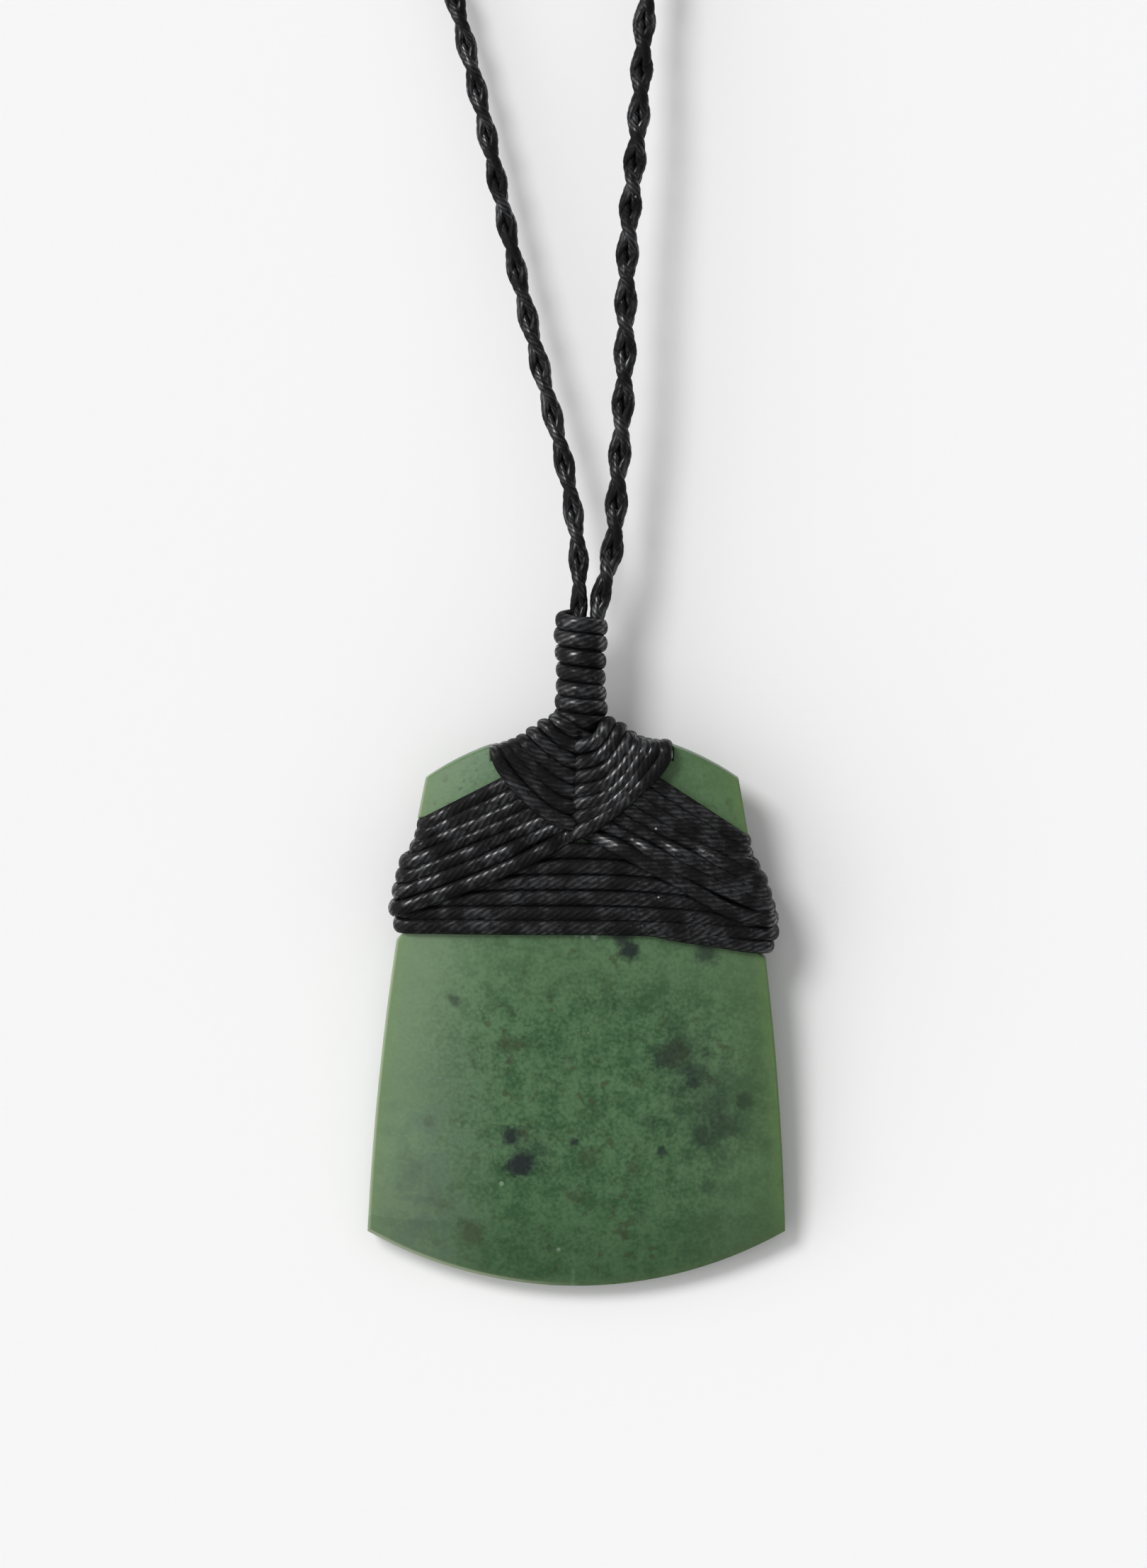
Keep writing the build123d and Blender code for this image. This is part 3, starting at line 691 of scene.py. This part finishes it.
# The last turn on each side runs as it lies in the photograph, from the shoulder to near the far side
LAST_RUNS = {
    "left": [
        (-7.4, 47.0), (-6.7, 45.9), (-5.5, 44.4), (-4.1, 43.1), (-2.8, 42.1), (-1.3, 41.4), (-0.2, 40.9),
        (0.9, 40.15), (3.2, 39.25), (5.75, 37.8), (7.9, 36.65), (9.95, 35.35), (12.0, 34.1), (14.1, 33.1),
    ],
    "right": [
        (7.35, 47.2), (6.75, 46.3), (5.8, 45.2), (4.7, 44.2), (3.1, 42.7), (1.2, 41.35), (-0.3, 40.6),
        (-1.96, 39.75), (-3.75, 38.75), (-7.9, 36.8), (-14.0, 34.45),
    ],
}
FRONT_STEP = 0.80
BACK_STEP = 1.02
BACK_SLOPE = 0.36
FRONT_SPACING = 0.6
CROSSING = (-1.1, -0.1)
CLIMB = (-1.2, -0.2)
SIDE_LEAD = 1.5
SHOULDER_LEAD = 1.0
SHOULDER_DROP = 0.3


def over_bands(x, y):
    """1 where a turn lies on the level turns, 0 where it lies on the stone."""
    return ease(*CLIMB, band_y(0, x) - y)


def front_level(start, x, y):
    """How high a crossed turn lies on the front. It starts over the shoulder on side start."""
    toward = x * SIDES[start]
    crossing = ease(*CROSSING, toward) if start == "right" else ease(-CROSSING[1], -CROSSING[0], toward)
    return max(over_bands(x, y), crossing)


def side_reach(side, turn):
    """Distance from the middle line to a crossed turn's middle where it goes round the side."""
    return abs(notch_x(side, SIDE_ENDS[side][turn])) + SEAT + SIDE_OUT[side][turn]


def front_run(start, turn):
    """A crossed turn's points on the front, from the shoulder on side start to the far side."""
    far = "left" if start == "right" else "right"
    across, up = SHOULDERS[start][turn]
    end = Vector((SIDES[far] * side_reach(far, turn), SIDE_ENDS[far][turn], 0))
    age = turn / (CROSS_COUNT - 1)
    if age == 1:
        flat = LAST_RUNS[start]
    else:
        tip = TIPS[start][turn]
        bend = LIMB_BENDS[start][0] * (1 - age) + LIMB_BENDS[start][1] * age
        flat = [(SIDES[start] * across * s, tip + (up - tip) * s**bend) for s in LIMB_SHARES]
        flat += [(end.x * s, tip + (end.y - tip) * (s + SAG * age * 4 * s * (1 - s))) for s in LOWER_SHARES]
    shoulder = Vector((SIDES[start] * across, up, 0))
    line = soft_line([shoulder] + [Vector((*place, 0)) for place in flat] + [end], FRONT_SPACING)
    line = [
        place for place in line
        if (place - shoulder).length > SHOULDER_LEAD and (place - end).length > SIDE_LEAD
    ]
    run = []
    for place in [shoulder] + line + [end]:
        level = front_level(start, place.x, place.y)
        x_on = max(min(place.x, BAND_HALF), -BAND_HALF)
        run.append((place.x, place.y, face_z(x_on, min(place.y, BLADE_LENGTH)) + SEAT + level * FRONT_STEP))
    return run


def back_run(side, turn, partner):
    """A crossed turn's points on the back, from the side up to the shoulder that the partner starts at."""
    side_y = SIDE_ENDS[side][turn]
    reach = side_reach(side, turn)
    shoulder_x, shoulder_y = SHOULDERS[side][partner]
    bend_y = side_y + BACK_SLOPE * (reach - shoulder_x)
    flat = [(reach, side_y), (reach - SIDE_LEAD, side_y + SIDE_LEAD * BACK_SLOPE)]
    flat += [((reach + shoulder_x) / 2, (side_y + bend_y) / 2), (shoulder_x, bend_y)]
    flat += [(shoulder_x, (bend_y + shoulder_y) / 2), (shoulder_x, shoulder_y - SHOULDER_DROP)]
    run = []
    for across, up in flat:
        x_here = across * SIDES[side]
        x_on = max(min(x_here, BAND_HALF), -BAND_HALF)
        level = over_bands(x_on, up) if across > SIDE_LEAD else 0
        run.append((x_here, up, -(face_z(x_on, min(up, BLADE_LENGTH)) + SEAT + level * BACK_STEP)))
    return run


for turn in range(CROSS_COUNT):
    partner = CROSS_COUNT - 1 - turn
    points = front_run("left", turn) + back_run("right", turn, partner)
    points += front_run("right", partner) + back_run("left", partner, turn)
    crossed = cord_piece(f"crossed_turn_{turn + 1}", [wound(points, CROSS_WIDE)], CORD_SIDES, True)
    crossed.data.materials.append(binding_finish)
    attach(crossed, "root")
    if turn < CROSS_SOLIDS:
        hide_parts(f"cross_wrap_{turn + 1}")


# Whipping: one end of the binding cord wound round the gathered neck cords above the blade, each turn
# pressed against the last. The gathered ends inside it stay as the plain core.
WHIP_WIDE = 1.46
WHIP_HIGH = 0.95
WHIP_STEPS = 24
# Height and width over the cord at every turn, from the back of the lowest one to the back of the top one
WHIP_HEIGHTS = [49.5, 50.9, 52.2, 53.6, 55.05, 56.6, 58.1, 59.4]
WHIP_WIDTHS = [5.1, 4.85, 4.65, 4.45, 4.5, 4.75, 4.9, 4.6]
WHIP_MIDDLE = -0.1
# Both ends of the cord are tucked inward over the last part of a turn
TUCK_TURNS = 0.3
TUCK_SHARE = 0.45

whip_turns = len(WHIP_HEIGHTS) - 1
whip_points = []
for i in range(whip_turns * WHIP_STEPS + 1):
    passed = i / WHIP_STEPS
    low_turn = min(int(passed), whip_turns - 1)
    part = passed - low_turn
    width = WHIP_WIDTHS[low_turn] * (1 - part) + WHIP_WIDTHS[low_turn + 1] * part
    whip_y = WHIP_HEIGHTS[low_turn] * (1 - part) + WHIP_HEIGHTS[low_turn + 1] * part
    tuck = max(ease(TUCK_TURNS, 0.0, passed), ease(whip_turns - TUCK_TURNS, whip_turns, passed))
    radius = (width / 2 - WHIP_HIGH / 2) * (1 - TUCK_SHARE * tuck)
    angle = -math.pi / 2 + math.tau * passed
    whip_points.append((WHIP_MIDDLE + radius * math.cos(angle), whip_y, radius * math.sin(angle)))
stations = []
for place in soft_line([Vector(point) for point in whip_points], CORD_STEP):
    outward = Vector((place.x - WHIP_MIDDLE, 0, place.z)).normalized()
    stations.append((laid(place), AS_IT_LIES @ outward, WHIP_WIDE * MM, WHIP_HIGH * MM))
whipping = cord_piece("whipping", [stations], CORD_SIDES)
whipping.data.materials.append(binding_finish)
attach(whipping, "root")
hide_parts(*[f"neck_turn_{turn + 1}" for turn in range(whip_turns)])
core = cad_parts["neck_core"]
core.data.materials.clear()
core.data.materials.append(binding_finish)
